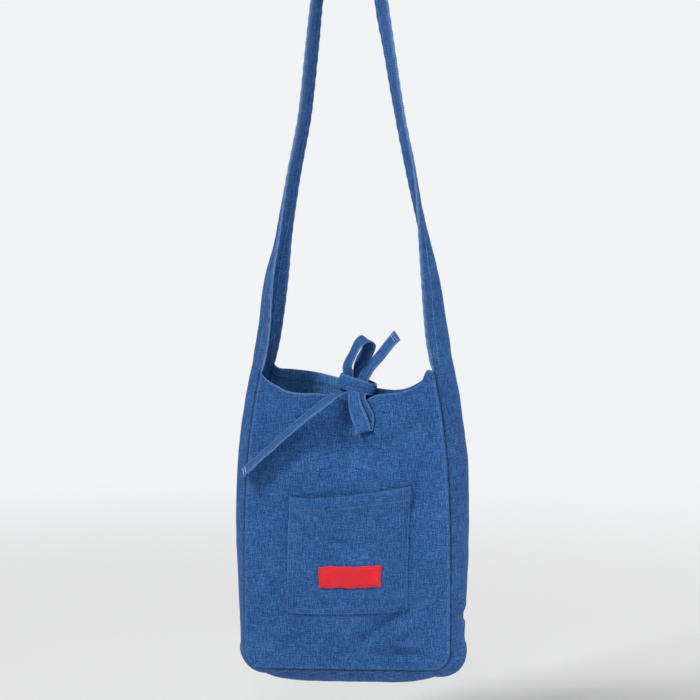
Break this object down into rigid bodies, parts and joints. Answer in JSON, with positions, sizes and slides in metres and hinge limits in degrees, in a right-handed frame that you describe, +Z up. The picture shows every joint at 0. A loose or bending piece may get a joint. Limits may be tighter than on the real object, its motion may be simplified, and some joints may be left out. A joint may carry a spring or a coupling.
{
  "type": "tote bag",
  "caption": "Soft denim shoulder tote: deep gusset that runs on as one wide strap, patch pocket with a bare woven label, and flat ties knotted in a bow over the mouth.",
  "frame": {"origin": "the top of the strap's loop, on the side that bears on a hook, midway across the strap", "axes": "+X to the right as the pocket side is seen, -Y out of the pocket side, +Z up along the hanging strap"},
  "size_m": [0.284, 0.1233, 0.9814],
  "materials": {
    "body_denim": "washed mid-blue slubby denim, unlined, with pale blue topstitching on the strap and pocket",
    "tie_denim": "the same denim folded and sewn flat as a tie, topstitched along both edges",
    "woven_label": "plain red woven label, bare"
  },
  "bodies": {
    "root": {"front_panel": "body_denim", "back_panel": "body_denim", "gusset_strap": "body_denim", "front_pocket": "body_denim", "pocket_label": "woven_label", "front_tie": "tie_denim", "back_tie": "tie_denim"}
  },
  "joints": []
}
